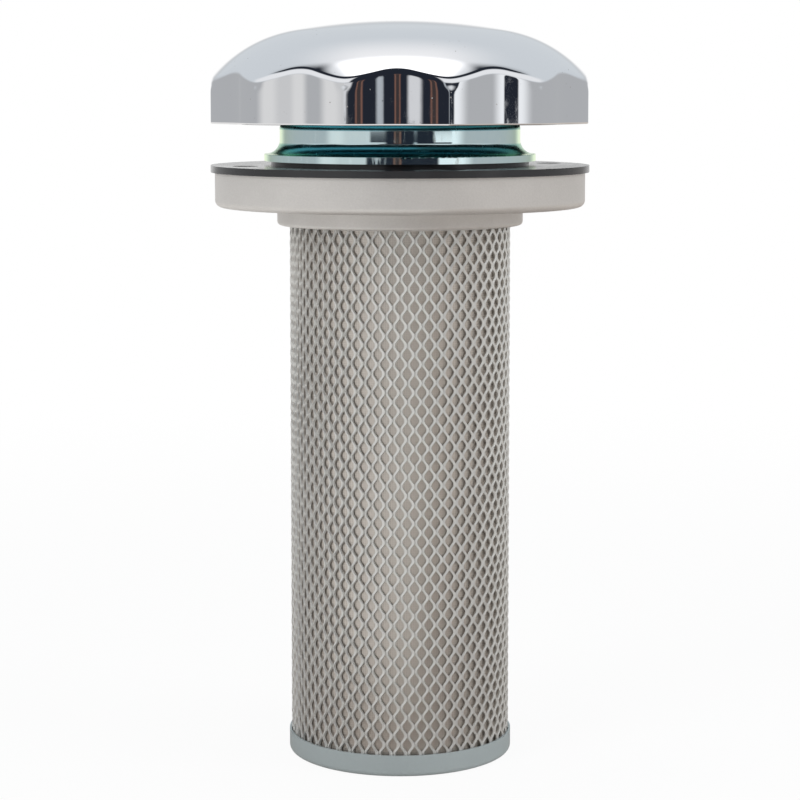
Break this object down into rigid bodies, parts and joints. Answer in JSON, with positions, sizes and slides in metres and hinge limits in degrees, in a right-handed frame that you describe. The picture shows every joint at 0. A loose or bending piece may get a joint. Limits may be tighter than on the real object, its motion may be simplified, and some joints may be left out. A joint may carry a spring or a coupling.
{
  "type": "tank filler with strainer basket and breather cap",
  "caption": "Tank filler: fluted chromed bayonet breather cap on a plated neck and cast flange, with a strainer basket of expanded metal and fine cloth hanging below.",
  "frame": {"origin": "on the axis, in the plane of the flange's underside, which sits on the tank", "axes": "+Z along the axis, from the basket towards the cap"},
  "size_m": [0.083, 0.083, 0.1621],
  "materials": {
    "mounting_flange": "blasted casting",
    "flange_gasket": "smooth black rubber",
    "neck_seal_ring": "smooth dark rubber",
    "filler_neck": "bright blue zinc plate",
    "basket_collar": "mill finish",
    "expanded_sleeve": "tinned expanded metal",
    "filter_cloth": "fine woven wire cloth",
    "basket_top_hoop": "mill finish",
    "basket_bottom_hoop": "mill finish",
    "basket_end_cap": "matte grey pressing",
    "cap_seal": "smooth black rubber",
    "cap_shell": "mirror chrome",
    "breather_pan": "zinc plate",
    "element_core": "zinc plate",
    "filter_foam": "open foam",
    "shell_stud": "zinc plate",
    "bayonet_plate": "zinc plate",
    "disc_spring": "spring steel",
    "stud_washer": "zinc plate",
    "stud_nut": "zinc plate"
  },
  "bodies": {
    "root": {"mounting_flange": "mounting_flange", "flange_gasket": "flange_gasket", "neck_seal_ring": "neck_seal_ring", "filler_neck": "filler_neck", "basket_collar": "basket_collar", "expanded_sleeve": "expanded_sleeve", "filter_cloth": "filter_cloth", "basket_top_hoop": "basket_top_hoop", "basket_bottom_hoop": "basket_bottom_hoop", "basket_end_cap": "basket_end_cap"},
    "seal": {"cap_seal": "cap_seal"},
    "cap": {"cap_shell": "cap_shell", "breather_pan": "breather_pan", "element_core": "element_core", "filter_foam": "filter_foam", "shell_stud": "shell_stud", "bayonet_plate": "bayonet_plate", "disc_spring": "disc_spring", "stud_washer": "stud_washer", "stud_nut": "stud_nut"}
  },
  "joints": [
    {"name": "cap_lift", "type": "slide", "parent": "root", "child": "seal", "axis": [0, 0, 1], "range_m": [0, 0.06]},
    {"name": "cap_turn", "type": "hinge", "parent": "seal", "child": "cap", "pos_m": [0, 0, 0.0194], "axis": [0, 0, 1], "range_deg": [-50, 0]}
  ]
}
